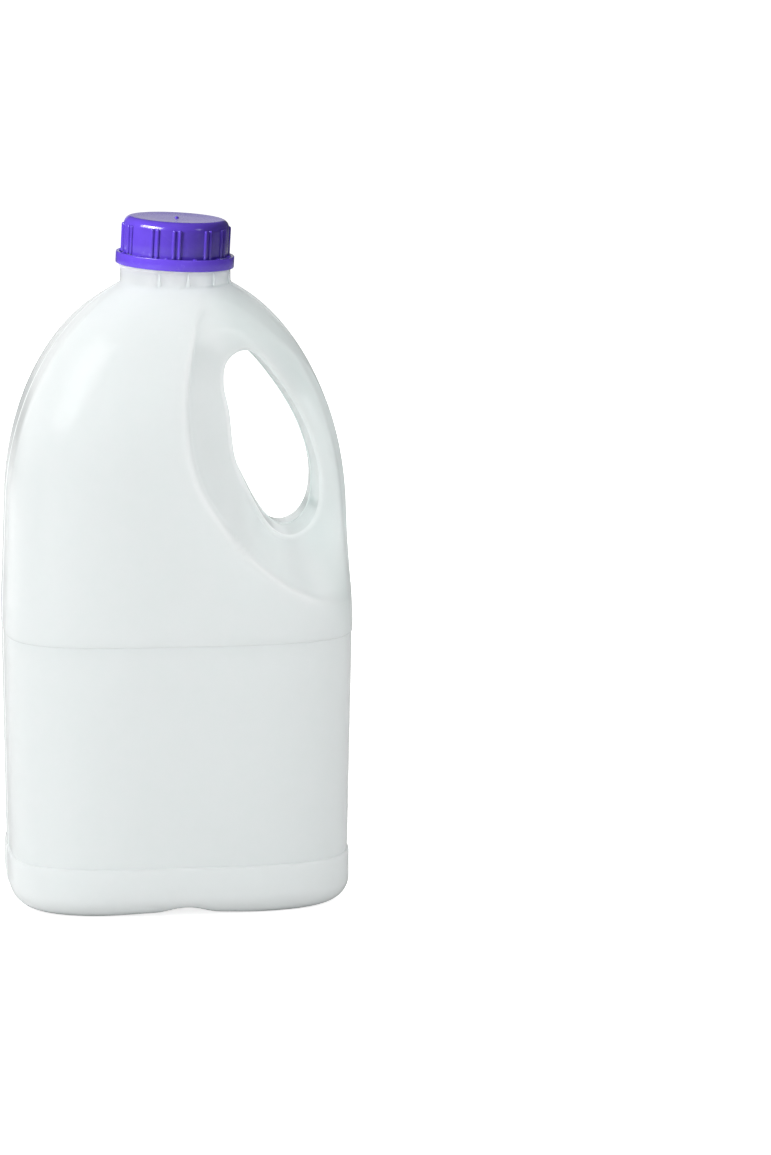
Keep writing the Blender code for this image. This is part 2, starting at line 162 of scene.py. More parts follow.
studio = {
    "lens": 131.93,
    "cameraPlace": (-0.1639, -1.5646, 0.4193),
    "cameraTurns": (79.277, 0.0, -8.869),
    "cameraRoll": 0.45,
    "roomStrength": 0.10,
    "backdrop": 1.05,
    "floorSize": 12,
    "floorPaper": {
        "Base Color": (0.725, 0.725, 0.725, 1), "Roughness": 0.9, "Emission Color": (1, 1, 1, 1),
    },
    "floorGlow": (0.80, 1.0),     # seen by the camera only: beside the jug, and far from it
    "floorGlowReach": (0.35, 1.6),
    "lampAim": (0, 0, 0.15),
    "panelReach": 1.50,
    "fillReach": 1.60,
    # name, azimuth and height round the jug in degrees, width, height, watts, what it lights
    "panels": (                   # softboxes that show in the gloss
        ("nearLeftPanel", -58, 37, 0.34, 0.90, 2.2, "jug"),
        ("leftPanel", -74, 37, 0.34, 0.90, 2.0, "jug"),
        ("farLeftPanel", -90, 37, 0.34, 0.90, 0.7, "jug"),
        ("rightPanel", 50, 6, 0.14, 1.20, 1.4, "jug"),
        ("backPanel", 180, 9, 1.60, 0.50, 1.3, "jug"),
        ("backLeftPanel", -138, 15, 0.90, 0.80, 0.6, "jug"),
        ("backRightPanel", 138, 15, 0.90, 0.80, 0.4, "jug"),
        ("lowLeftPanel", -60, -1, 0.50, 0.30, 0.2, "jug"),
        ("capPanel", -64, 30, 1.30, 0.55, 31.0, "cap"),
        ("capKeyPanel", -62, 30, 0.34, 0.26, 11.0, "cap"),
        ("capRightPanel", 48, 28, 0.22, 0.30, 1.0, "cap"),
        ("capBackPanel", 180, 8, 0.70, 0.40, 0.43, "cap"),
    ),
    "fills": (                    # light without a mirror image
        ("backLeftFill", -140, 30, 0.80, 0.80, 12.4, "jug"),
        ("rightFill", 45, 30, 0.80, 0.80, 6.4, "jug"),
        ("topFill", 0, 60, 0.80, 0.80, 6.6, "jug"),
        ("lowLeftFill", -50, 5, 0.80, 0.80, 6.8, "jug"),
        ("sideFill", 90, 10, 0.80, 0.80, 2.2, "jug"),
        ("leftFill", -75, 20, 0.80, 0.80, 2.4, "jug"),
        ("backTopFill", 180, 45, 0.80, 0.80, 1.4, "jug"),
        ("frontFill", 5, 5, 0.80, 0.80, 1.0, "jug"),
        ("bandFill", 18, 15, 0.80, 0.80, 13.0, "band"),
        ("capTopFill", 0, 75, 0.80, 0.80, 3.6, "cap"),
    ),
}


def makeCamera():
    lensData = bpy.data.cameras.new("camera")
    lensData.lens = studio["lens"]
    camera = bpy.data.objects.new("camera", lensData)
    bpy.context.scene.collection.objects.link(camera)
    camera.location = studio["cameraPlace"]
    camera.rotation_euler = [math.radians(turn) for turn in studio["cameraTurns"]]
    camera.rotation_euler.rotate_axis("Z", math.radians(studio["cameraRoll"]))
    bpy.context.scene.camera = camera


def makeLamps():
    lit = {}
    for group in ("jug", "cap", "band"):
        lit[group] = bpy.data.collections.new(group + "Lit")
    for name, turn, rise, width, height, watts, group in studio["panels"] + studio["fills"]:
        shows = "Panel" in name
        reach = studio["panelReach"] if shows else studio["fillReach"]
        (ahead, aside), (level, lift) = arc((turn, rise))
        away = Vector((aside * level, -ahead * level, lift))
        startFresh()
        bpy.ops.object.light_add(type="AREA", location=away * reach + Vector(studio["lampAim"]))
        lamp = bpy.context.object
        lamp.name = name
        lamp.data.shape = "RECTANGLE"
        lamp.data.size = width
        lamp.data.size_y = height
        lamp.data.energy = watts
        lamp.visible_camera = False
        lamp.visible_glossy = shows
        lamp.rotation_euler = away.to_track_quat("Z", "Y").to_euler()
        lamp.light_linking.receiver_collection = lit[group]
    return lit


def makeRoom():
    # dim for the light that it gives, white where the camera sees it
    world = bpy.data.worlds.new("room")
    world.use_nodes = True
    nodes, links = world.node_tree.nodes, world.node_tree.links
    nodes.clear()
    output = nodes.new("ShaderNodeOutputWorld")
    mix = nodes.new("ShaderNodeMixShader")
    path = nodes.new("ShaderNodeLightPath")
    links.new(path.outputs["Is Camera Ray"], mix.inputs["Fac"])
    for socket, strength in ((1, studio["roomStrength"]), (2, studio["backdrop"])):
        white = nodes.new("ShaderNodeBackground")
        setInputs(white, {"Color": (1, 1, 1, 1), "Strength": strength})
        links.new(white.outputs["Background"], mix.inputs[socket])
    links.new(mix.outputs["Shader"], output.inputs["Surface"])
    bpy.context.scene.world = world
    bpy.context.scene.view_settings.view_transform = "Standard"


def makeFloor():
    # a wide paper sheet that runs on into the white backdrop
    startFresh()
    bpy.ops.mesh.primitive_plane_add(size=studio["floorSize"], location=(0, 0, 0))
    floor = bpy.context.object
    floor.name = "studioFloor"
    paper, shader = newMaterial("floorPaper", studio["floorPaper"])
    tree = paper.node_tree
    place = tree.nodes.new("ShaderNodeTexCoord")
    reach = tree.nodes.new("ShaderNodeVectorMath")
    reach.operation = "LENGTH"
    tree.links.new(place.outputs["Object"], reach.inputs[0])
    white = addRange(tree, reach.outputs["Value"], studio["floorGlowReach"], studio["floorGlow"])
    path = tree.nodes.new("ShaderNodeLightPath")
    seen = addMaths(tree, "MULTIPLY", white, path.outputs["Is Camera Ray"])
    tree.links.new(seen, shader.inputs["Emission Strength"])
    floor.data.materials.append(paper)
    return floor


makeCamera()
makeRoom()
lit = makeLamps()
studioFloor = makeFloor()
lit["jug"].objects.link(studioFloor)
print("studio ready")


# the jug: blown plastic, one skin from the base to the neck

jug = {
    "halfWidth": 0.0657,
    "halfDepth": 0.0460,
    "sideTaper": 0.037,           # how much each metre of height takes off above the waist
    "widthArcZ": 0.1519,          # where the shoulders begin to curve in, seen from the front
    "depthArcZ": 0.1680,          # and from the side
    "waistZ": 0.1035,
    "panelInset": 0.0005,
    "panelTaper": 0.0145,         # the same for the panel, downwards
    "depthTaperShare": 0.7,
    "beadZ": 0.0196,
    "baseHalfWidth": 0.0646,
    "baseHalfDepth": 0.0451,
    "baseRound": 0.0085,
    "footShare": 0.78,            # the base stands on what lies further out than this
    "pushUp": 0.0040,
    "floorShares": (
        0.0, 0.06, 0.13, 0.21, 0.29, 0.37, 0.45, 0.53, 0.60, 0.66, 0.72, 0.78, 0.84, 0.90, 0.96,
    ),
    "archMiddleX": -0.0030,       # broad arch under the base, with a small hump at its middle
    "archHalfWidth": 0.0340,
    "archHeight": 0.0011,
    "humpHalfWidth": 0.0120,
    "humpHeight": 0.0019,
    "shoulderEndZ": 0.2334,
    "collarRadius": 0.0206,
    "collarRows": ((0.00002, 0.2342), (0.0, 0.2352), (0.0, 0.2368), (0.0, 0.2384), (0.0, 0.2390)),
    "collarBeadZ": 0.2394,
    "collarBeadRise": 0.00035,
    "collarBeadHalf": 0.0005,
    "neckRows": (                 # radius and height, from over that bead to the middle of the mouth
        (0.0205, 0.2406), (0.0201, 0.2409), (0.0180, 0.2411), (0.0176, 0.2417), (0.0176, 0.2532),
        (0.0173, 0.2538), (0.0168, 0.2540), (0.0080, 0.2540), (0.0, 0.2540),
    ),
    "waistDroop": 0.00022,        # how far the upper body draws in towards its lower edge
    "waistLip": 0.00045,          # rounding of that edge
    "waistDroopRun": 0.0058,
    "waistGroove": 0.00010,       # how far the panel draws in right under it
    "waistGrooveRun": 0.0060,
    "waistFalls": (0.0100, 0.0075, 0.0056, 0.0042, 0.0030, 0.0020, 0.0012, 0.0006, 0.0002),
    "waistRises": (0.0007, 0.0012, 0.0018, 0.0026, 0.0036, 0.0048, 0.0062),
    "beadGroove": 0.00008,
    "beadGrooveRun": 0.0030,
    "beadRises": (0.0002, 0.0005, 0.0009, 0.0014, 0.0020, 0.0028, 0.0040, 0.0056, 0.0080),
    "beadRound": 0.0016,
    "collarFillet": 0.0012,
    "seamHeight": 0.00020,
    "seamHalfWidth": 0.00042,
    "seamStations": (0.0, 0.5, 1.0, 1.6),
    "faceStations": 4,
    "gripSideStations": 104,
    "plainSideStations": 46,
    "shoulderRowsZ": 0.1115,      # even rows from here up, and the recess is pressed into them
    "shoulderRowStep": 0.00076,
    # height, end face half width, crown, squareness, start of the corner in degrees
    "sections": (
        (0.0000, 0.0150, 0.0003, 4.0, 8.0),
        (0.0400, 0.0155, 0.0003, 3.8, 8.0),
        (0.1040, 0.0160, 0.0003, 3.5, 8.1),
        (0.1500, 0.0150, 0.0003, 3.3, 8.5),
        (0.1820, 0.0178, 0.0003, 2.9, 12.0),
        (0.1960, 0.0188, 0.0004, 2.6, 16.7),
        (0.2100, 0.0176, 0.0006, 2.35, 20.0),
        (0.2220, 0.0142, 0.0009, 2.2, 22.0),
        (0.2285, 0.0095, 0.0012, 2.05, 21.0),
        (0.2334, 0.00705, 0.00124, 2.0, 20.0),
    ),
}

grip = {
    # the hole's rim as x, z, anticlockwise from its left side
    "rim": (
        (0.0171, 0.1880), (0.0192, 0.1715), (0.0250, 0.1580), (0.0315, 0.1465),
        (0.0370, 0.1412), (0.0430, 0.1403), (0.0488, 0.1442), (0.0520, 0.1520),
        (0.0520, 0.1640), (0.0485, 0.1770), (0.0432, 0.1882), (0.0353, 0.2000),
        (0.0272, 0.2090), (0.0213, 0.2104), (0.0161, 0.2062), (0.0151, 0.1980),
    ),
    "rimAxis": (-0.0215, 0.0708),
    "rimHalfSize": (0.037, 0.0145),  # along that axis and across it
    "rimDraft": 0.0010,
    "rimRound": 0.0016,
    "handleHalfDepth": 0.0185,
    "handleCorner": 0.0036,       # width of the slope beside the handle's flat front
    "handleSlope": 1.6,
    "handleSoft": 0.0008,
    "handleTurn": 0.46,           # how much that front turns away towards the outer edge
    "handleTurnReach": 0.0135,
    "handleTurnSoft": 0.005,
    "handleTurnZ": (0.134, 0.026),   # a pair like this is where something begins, and its run
    "handleFaceHalf": 0.0068,
    "handleFaceZ": (0.112, 0.030),
    "rimLift": 0.0115,            # towards the body the hole's rim stands further out than the handle
    "rimLiftAngle": 175,
    "rimLiftTurn": (-0.6, 1.5),
    # the hand recess's edge as x, z, anticlockwise from its left side
    "recessEdge": (
        (-0.0005, 0.1930), (0.0001, 0.1813), (0.0016, 0.1715), (0.0055, 0.1604),
        (0.0126, 0.1491), (0.0208, 0.1390), (0.0321, 0.1290), (0.0436, 0.1216),
        (0.0545, 0.1178), (0.0680, 0.1172), (0.0850, 0.1250), (0.0980, 0.1450),
        (0.1050, 0.1750), (0.1030, 0.2100), (0.0930, 0.2380), (0.0740, 0.2560),
        (0.0500, 0.2600), (0.0290, 0.2500), (0.0150, 0.2380), (0.0087, 0.2280),
        (0.0046, 0.2194), (0.0014, 0.2074),
    ),
    "step": 0.0036,               # the recess's steep edge
    "stepRun": 0.0016,
    "stepFadeX": (0.0380, 0.0170),
    "stepFadeZ": (0.206, 0.016),
    "stepLeft": 0.05,             # share of the step that stays at the right
    "stepLost": 0.8,              # share of it that goes at the top
    "floorCurve": 1.1,
    "ridgeSoft": 0.0020,
    "ridgeFade": 0.0050,          # softer towards the top of the shoulder
    "ridgeFadeZ": (0.214, 0.016),
    "ridgeSide": 0.009,
    "beadRise": 0.00040,          # fine raised line along the edge
    "beadWidth": 0.0013,
    "beadOut": 0.0007,
    "beadFadeX": (0.044, 0.010),
    "beadFadeZ": (0.212, 0.014),
    "footSoft": 0.0007,
    "columns": (0.260, 0.835),    # window for the hole, as shares of the front corner's stations
    "heights": (0.1358, 0.2156),
    "ringSteps": 12,
    "roundSteps": 7,
    "wallShares": (0.93, 0.80, 0.62, 0.44, 0.28, 0.15, 0.08),
}


def smoothCurve(points, steps):
    # closed curve through the points
    corners = np.array(points)
    before, after, beyond = (np.roll(corners, shift, axis=0) for shift in (1, -1, -2))
    t = (np.arange(steps) / steps)[None, :, None]
    corners, before, after, beyond = (c[:, None, :] for c in (corners, before, after, beyond))
    curve = 0.5 * (
        2 * corners + (after - before) * t
        + (2 * before - 5 * corners + 4 * after - beyond) * t ** 2
        + (3 * corners - before - 3 * after + beyond) * t ** 3
    )
    return curve.reshape(-1, 2)


def sectionTable():
    # the section values on a fine ladder of heights, eased from key to key
    keys = np.array(jug["sections"])
    heights = keys[:, 0]
    ladder = np.linspace(heights[0], heights[-1], 1200)   # far finer than the rows of the wall
    i = np.clip(np.searchsorted(heights, ladder) - 1, 0, len(keys) - 2)
    span = heights[i + 1] - heights[i]
    t = (ladder - heights[i]) / span
    first, last = np.maximum(i - 1, 0), np.minimum(i + 2, len(keys) - 1)
    columns = []
    for column in range(1, keys.shape[1]):
        values = keys[:, column]
        slopeIn = (values[i + 1] - values[first]) / (heights[i + 1] - heights[first])
        slopeOut = (values[last] - values[i]) / (heights[last] - heights[i])
        columns.append(
            (2 * t ** 3 - 3 * t ** 2 + 1) * values[i] + (t ** 3 - 2 * t ** 2 + t) * span * slopeIn
            + (3 * t ** 2 - 2 * t ** 3) * values[i + 1] + (t ** 3 - t ** 2) * span * slopeOut
        )
    return ladder, columns


sectionHeights, sectionColumns = sectionTable()


def sectionAt(z):
    z = np.clip(z, sectionHeights[0], sectionHeights[-1])
    faceHalf, crown, power, start = (np.interp(z, sectionHeights, column) for column in sectionColumns)
    return faceHalf, crown, power, np.radians(start)


def shoulderArch(z, startZ, endShare):
    rise = (jug["shoulderEndZ"] - startZ) / math.sqrt(1 - endShare ** 2)
    return np.sqrt(1 - (np.clip(z - startZ, 0.0, None) / rise) ** 2)


def widthAt(z):
    z = np.minimum(z, jug["shoulderEndZ"])
    panel = jug["halfWidth"] - jug["panelInset"] - jug["panelTaper"] * (jug["waistZ"] - z)
    upper = jug["halfWidth"] - jug["sideTaper"] * (z - jug["waistZ"])
    endWidth = jug["halfWidth"] - jug["sideTaper"] * (jug["shoulderEndZ"] - jug["waistZ"])
    upper = upper * shoulderArch(z, jug["widthArcZ"], jug["collarRadius"] / endWidth)
    return np.where(z < jug["waistZ"], panel, upper)


def depthAt(z):
    z = np.minimum(z, jug["shoulderEndZ"])
    taper = jug["depthTaperShare"] * jug["panelTaper"]
    panel = jug["halfDepth"] - jug["panelInset"] - taper * (jug["waistZ"] - z)
    upper = jug["halfDepth"] * shoulderArch(z, jug["depthArcZ"], jug["collarRadius"] / jug["halfDepth"])
    return np.where(z < jug["waistZ"], panel, upper)


def faceHalfAt(z, side):
    # the handle's end face is narrower than the other end's
    faceHalf = sectionAt(z)[0]
    if side < 0:
        return faceHalf
    narrow = np.minimum(faceHalf, grip["handleFaceHalf"])
    return faceHalf + easeFrom(z, *grip["handleFaceZ"]) * (narrow - faceHalf)


def sectionDepth(x, z):
    # half depth of the handle side's plan section at x, before the recess is pressed in
    z = np.minimum(z, jug["shoulderEndZ"])
    crown, power, start = sectionAt(z)[1:]
    faceHalf, width, depth = faceHalfAt(z, 1), widthAt(z), depthAt(z)
    share = 2 / power
    across = np.clip(x / (width - crown), 0.0, 1.0)
    angle = np.arccos(np.clip(across ** (1 / share) * np.cos(start), 0.0, 1.0))
    low = np.sin(start) ** share
    forward = np.clip((np.sin(angle) ** share - low) / (1 - low), 0.0, 1.0)
    return faceHalf + (depth - faceHalf) * forward


rimCurve = smoothCurve(grip["rim"], 60)
rimMiddle = smoothCurve(grip["rim"], 8).mean(axis=0)
rimRun = np.roll(rimCurve, -1, axis=0) - np.roll(rimCurve, 1, axis=0)
rimOut = np.stack((rimRun[:, 1], -rimRun[:, 0]), axis=1) / np.linalg.norm(rimRun, axis=1)[:, None]
lipCurve = rimCurve + rimOut * grip["rimRound"]


def polarOf(points):
    reach = points - rimMiddle
    angles = np.arctan2(reach[:, 1], reach[:, 0])
    order = np.argsort(angles)
    return angles[order], np.hypot(reach[:, 0], reach[:, 1])[order]


lipAngles, lipReach = polarOf(lipCurve)


def stepShare(x, z):
    # the recess's steep edge fades out to the right and towards the top
    faded = 1 - (1 - grip["stepLeft"]) * easeFrom(x, *grip["stepFadeX"])
    return faded * (1 - grip["stepLost"] * easeFrom(z, *grip["stepFadeZ"]))


edgeCurve = smoothCurve(grip["recessEdge"], 40)
edgeAngles, edgeReach = polarOf(edgeCurve)


def fromRim(x, z):
    # from the hole's middle: turn, distance, and how far out the lip and the recess's edge lie
    dx, dz = x - rimMiddle[0], z - rimMiddle[1]
    angle = np.arctan2(dz, dx)
    lip = np.interp(angle, lipAngles, lipReach, period=2 * math.pi)
    edge = np.interp(angle, edgeAngles, edgeReach, period=2 * math.pi)
    return angle, np.hypot(dx, dz), lip, edge


def sideDistance(x, z):
    # distance to the handle's outer edge, in the parting plane
    z = np.minimum(z, jug["shoulderEndZ"])
    slope = (widthAt(z) - widthAt(z - 0.001)) / 0.001
    return (widthAt(z) - x) / np.sqrt(1 + slope ** 2)


def edgeBead(x, z, out):
    # share of the fine raised line at a distance outside the recess's edge
    bead = np.exp(-((out - grip["beadOut"]) / grip["beadWidth"]) ** 2)
    return bead * (1 - easeFrom(z, *grip["beadFadeZ"])) * (1 - easeFrom(x, *grip["beadFadeX"]))


def gripDepth(x, z):
    # depth of the body with the hand recess pressed in
    body = sectionDepth(x, z)
    angle, reach, lip, edge = fromRim(x, z)
    edgeX, edgeZ = rimMiddle[0] + edge * np.cos(angle), rimMiddle[1] + edge * np.sin(angle)
    foot = edge - grip["stepRun"] * stepShare(edgeX, edgeZ)
    share = np.clip((reach - lip) / (foot - lip), 0.0, 1.0)
    onHandle = 1 - ease(share)
    towardsBody = np.cos(angle - math.radians(grip["rimLiftAngle"]))
    handle = grip["handleHalfDepth"] + grip["rimLift"] * easeFrom(towardsBody, *grip["rimLiftTurn"])
    footDepth = body - grip["step"] * stepShare(x, z)
    floor = handle + np.clip(footDepth - handle, 0.0, None) * share ** grip["floorCurve"]
    side = sideDistance(x, z)
    turned = -grip["handleTurn"] * softMin(side - grip["handleTurnReach"], 0.0, grip["handleTurnSoft"])
    floor = floor - turned * onHandle * easeFrom(z, *grip["handleTurnZ"])
    slope = (grip["handleCorner"] - side) * grip["handleSlope"]
    floor = floor + softMin(-slope, 0.0, grip["handleSoft"]) * onHandle
    beyond = -softMin(-(reach - foot), 0.0, grip["footSoft"])
    pressed = floor + beyond * grip["step"] / grip["stepRun"]
    soft = grip["ridgeSoft"] + grip["ridgeFade"] * easeFrom(z, *grip["ridgeFadeZ"])
    soft = soft * ease(side / grip["ridgeSide"])
    return softMin(body, pressed, soft) + grip["beadRise"] * edgeBead(x, z, reach - edge)


def quarterRing(z, width, depth, side, offset):
    # x and half depth of the stations from the end face's middle to the front's middle, row by row
    crown, power, start = (value[:, None] for value in sectionAt(z)[1:])
    faceHalf = faceHalfAt(z, side)[:, None]
    width, depth, offset = width[:, None], depth[:, None], offset[:, None]
    faceHalf = np.maximum(faceHalf - 0.5 * offset, 0.002)
    seam = np.array(jug["seamStations"])[None, :] * jug["seamHalfWidth"]
    inner = seam * np.minimum(faceHalf / 0.006, 1.0)     # closer together on a very narrow end face
    rest = np.arange(1, jug["faceStations"]) / jug["faceStations"]
    outer = inner[:, -1:] + (faceHalf - inner[:, -1:]) * rest[None, :]
    faceY = np.concatenate((inner, outer), axis=1)
    faceX = width - offset - crown * (faceY / faceHalf) ** 2
    count = jug["gripSideStations"] if side > 0 else jug["plainSideStations"]
    share = 2 / power
    t = np.linspace(0.0, 1.0, 900)[None, :] ** 1.5       # closer together towards the front's middle
    fine = start + (math.pi / 2 - start) * (1 - t)[:, ::-1]
    fine = np.concatenate((fine[:, :-1], np.full((len(z), 1), math.pi / 2)), axis=1)
    cornerX = (width - offset - crown) * np.clip(np.cos(fine), 0.0, None) ** share
    cornerX = cornerX / np.cos(start) ** share
    low = np.sin(start) ** share
    cornerY = faceHalf + (depth - offset - faceHalf) * (np.sin(fine) ** share - low) / (1 - low)
    length = np.concatenate((
        np.zeros((len(z), 1)),
        np.cumsum(np.hypot(np.diff(cornerX, axis=1), np.diff(cornerY, axis=1)), axis=1),
    ), axis=1)
    wanted = np.linspace(0.0, 1.0, count + 1)

    def evenly(face, corner):
        stations = [np.interp(wanted * row[-1], row, line) for row, line in zip(length, corner)]
        return np.concatenate((face, np.stack(stations)), axis=1)

    return evenly(faceX, cornerX), evenly(faceY, cornerY)


def wallRows():
    # height and inward offset of each row of the wall, from the bottom edge to the shoulder's end
    top, bead, waist, end = jug["baseRound"], jug["beadZ"], jug["waistZ"], jug["shoulderEndZ"]
    corner = arc(np.linspace(0.0, 90.0, 16)[1:])
    rows = [(top * (1 - cosine), top * (1 - sine), "base") for cosine, sine in corner]
    drop = jug["beadRound"]
    rows += [(z, 0.0, "base") for z in np.linspace(top, bead - drop, 8)[1:]]
    ledge = jug["baseHalfWidth"] - float(widthAt(bead)) + jug["beadGroove"]
    for cosine, sine in arc((15, 30, 45, 60, 75, 90)):
        rows.append((bead - drop + drop * sine, ledge * (1 - cosine), "base"))
    for rise in jug["beadRises"]:
        rows.append((bead + rise, jug["beadGroove"] * math.exp(-2 * rise / jug["beadGrooveRun"]), "body"))
    rows += [(z, 0.0, "body") for z in np.linspace(bead + 0.011, waist - 0.013, 20)]
    groove, lip, droop = jug["waistGroove"], jug["waistLip"], jug["waistDroop"]
    for fall in jug["waistFalls"]:
        rows.append((waist - fall, groove * math.exp(-2.2 * fall / jug["waistGrooveRun"]), "body"))
    hair = 0.00001                # keeps the rows on either side of the waist apart
    rows.append((waist - hair, groove + 0.00005, "body"))
    for cosine, sine in arc((4, 20, 36, 52, 68, 84)):
        rows.append((waist + hair + lip * (1 - cosine), droop + lip * (1 - sine), "body"))
    for rise in jug["waistRises"]:
        rows.append((waist + rise, droop * max(1 - rise / jug["waistDroopRun"], 0.0) ** 2, "body"))
    first, fillet = jug["shoulderRowsZ"], jug["collarFillet"]
    for z in np.linspace(first, end, round((end - first) / jug["shoulderRowStep"]) + 1):
        rise = max(z - (end - 2 * fillet), 0.0)
        rows.append((z, -0.06 * rise ** 2 / fillet, "body"))   # below zero: the fillet flares out
    return rows


def addSheet(name, places):
    # a plain grid whose points are then put on the moulded form, row by row
    rows, columns = places.shape[:2]
    startFresh()
    bpy.ops.mesh.primitive_grid_add(x_subdivisions=columns - 1, y_subdivisions=rows - 1, size=2)
    sheet = bpy.context.object
    sheet.name = name
    flat = np.empty(rows * columns * 3)
    sheet.data.vertices.foreach_get("co", flat)
    flat = flat.reshape(-1, 3)
    column = np.rint((flat[:, 0] + 1) / 2 * (columns - 1)).astype(int)
    row = np.rint((flat[:, 1] + 1) / 2 * (rows - 1)).astype(int)
    sheet.data.vertices.foreach_set("co", places[row, column].reshape(-1))
    sheet.data.update()
    order = np.empty((rows, columns), int)
    order[row, column] = np.arange(rows * columns)
    return sheet, order


def seamRise(y):
    return jug["seamHeight"] * np.clip(1 - (y / jug["seamHalfWidth"]) ** 2, 0.0, 1.0)


def archLift(x, z):
    # the front and back edges of the base stand a little off the ground
    broad = np.clip(np.abs(x - jug["archMiddleX"]) / jug["archHalfWidth"], 0.0, 1.0)
    hump = np.clip(np.abs(x) / jug["humpHalfWidth"], 0.0, 1.0)
    lift = jug["archHeight"] * (0.5 + 0.5 * np.cos(math.pi * broad))
    lift += jug["humpHeight"] * (0.5 + 0.5 * np.cos(math.pi * hump))
    return lift * np.clip(1 - z / jug["baseRound"], 0, 1) ** 2


def wallPlaces():
    rows = wallRows()
    z, offset = np.array([row[:2] for row in rows]).T
    isBase = np.array([row[2] == "base" for row in rows])
    width = np.where(isBase, jug["baseHalfWidth"], widthAt(z))
    depth = np.where(isBase, jug["baseHalfDepth"], depthAt(z))
    rightX, rightY = quarterRing(z, width, depth, 1, offset)
    leftX, leftY = quarterRing(z, width, depth, -1, offset)
    gripped = z >= jug["shoulderRowsZ"]
    corner = slice(rightX.shape[1] - jug["gripSideStations"] - 1, None)
    x = rightX[gripped][:, corner]
    pressed = gripDepth(x, np.repeat(z[gripped][:, None], x.shape[1], axis=1))
    rightY[gripped, corner] = np.minimum(rightY[gripped][:, corner] + grip["beadRise"], pressed)
    rightX += seamRise(rightY)
    leftX += seamRise(leftY)
    leftX, leftY = leftX[:, ::-1][:, 1:], leftY[:, ::-1][:, 1:]
    frontX = np.concatenate((rightX, -leftX), axis=1)
    frontY = np.concatenate((-rightY, -leftY), axis=1)
    ringX = np.concatenate((frontX, frontX[:, ::-1][:, 1:]), axis=1)
    ringY = np.concatenate((frontY, -frontY[:, ::-1][:, 1:]), axis=1)
    ringZ = np.repeat(z[:, None], ringX.shape[1], axis=1)
    return np.stack((ringX, ringY, ringZ), axis=2)


def floorPlaces(edge):
    # from the middle of the base out to the bottom edge
    shares = np.array(jug["floorShares"])[:, None]
    x, y = (
        edge[None, :, axis] * shares * (half - jug["baseRound"]) / np.abs(edge[:, axis]).max()
        for axis, half in enumerate((jug["baseHalfWidth"], jug["baseHalfDepth"]))
    )
    lift = jug["pushUp"] * np.clip(1 - (shares / jug["footShare"]) ** 2, 0.0, None)
    return np.stack((x, y, np.repeat(lift, edge.shape[0], axis=1)), axis=2)


def neckPlaces(ring):
    # collar with the bead under the tamper band, then the finish inside the cap
    radius, half = jug["collarRadius"], jug["collarBeadHalf"]
    profile = [(radius + out, z) for out, z in jug["collarRows"]]
    for cosine, sine in arc(range(0, 181, 30)):
        profile.append((radius + jug["collarBeadRise"] * sine, jug["collarBeadZ"] + half * (1 - cosine)))
    around = np.arctan2(ring[:, 1], ring[:, 0])
    return np.stack([
        np.stack((r * np.cos(around), r * np.sin(around), np.full(len(around), z)), axis=1)
        for r, z in (*profile, *jug["neckRows"])
    ])


def windowEdge(wall):
    # the loop of wall points round the hole's window
    faceCount = len(jug["seamStations"]) - 1 + jug["faceStations"]
    first, last = (faceCount + round(share * jug["gripSideStations"]) for share in grip["columns"])
    low, high = (int(np.argmin(np.abs(wall[:, 0, 2] - z))) for z in grip["heights"])
    loop = [(low, c) for c in range(last, first, -1)] + [(r, first) for r in range(low, high)]
    loop += [(high, c) for c in range(first, last)] + [(r, last) for r in range(high, low, -1)]
    return first, last, low, high, loop


def atDepth(places, depth):
    # points known by their x and z, put at a depth in front of the parting plane
    return np.stack((places[:, 0], -depth, places[:, 1]), axis=1)


def liningPlaces(wall, loop):
    # from the front window in over the rounded lip, through the hole and out at the back
    edge = np.array([wall[r, c] for r, c in loop])
    start = edge[:, (0, 2)]
    axis = np.array(grip["rimAxis"]) / math.hypot(*grip["rimAxis"])
    cross = np.array((axis[1], -axis[0]))
    halfLong, halfWide = grip["rimHalfSize"]

    def turnOf(points):
        reach = points - rimMiddle
        return np.arctan2(reach @ axis / halfLong, reach @ cross / halfWide)

    rimTurn = turnOf(rimCurve)
    order = np.argsort(rimTurn)
    wanted = turnOf(start)

    def atTurn(points):
        # the rim's own values at the turns of the window's points
        columns = [np.interp(wanted, rimTurn[order], line[order], period=2 * math.pi) for line in points.T]
        return np.stack(columns, axis=1)

    rim, out = atTurn(rimCurve), atTurn(rimOut)
    out /= np.linalg.norm(out, axis=1)[:, None]
    radius = grip["rimRound"]
    lip = rim + out * radius
    levels = [edge]
    for step in range(1, grip["ringSteps"] + 1):
        place = start + (lip - start) * step / grip["ringSteps"]
        lipDepth = gripDepth(place[:, 0], place[:, 1])
        levels.append(atDepth(place, lipDepth))
    for step in range(1, grip["roundSteps"] + 1):
        tilt = math.pi / 2 * step / grip["roundSteps"]
        place = rim + out * radius * (1 - math.sin(tilt))
        levels.append(atDepth(place, lipDepth - radius * (1 - math.cos(tilt))))
    wallDepth = lipDepth - radius
    depths = [wallDepth * share for share in grip["wallShares"]]
    depths += [np.full(len(rim), share * jug["seamHalfWidth"]) for share in reversed(jug["seamStations"])]
    for depth in depths:
        inward = grip["rimDraft"] * (1 - depth / wallDepth) + 1.6 * seamRise(depth)
        levels.append(atDepth(rim - out * inward[:, None], depth))
    front = np.stack(levels)
    back = front[::-1][1:] * np.array((1, -1, 1))
    places = np.concatenate((front, back))
    return np.concatenate((places, places[:, :1]), axis=1)


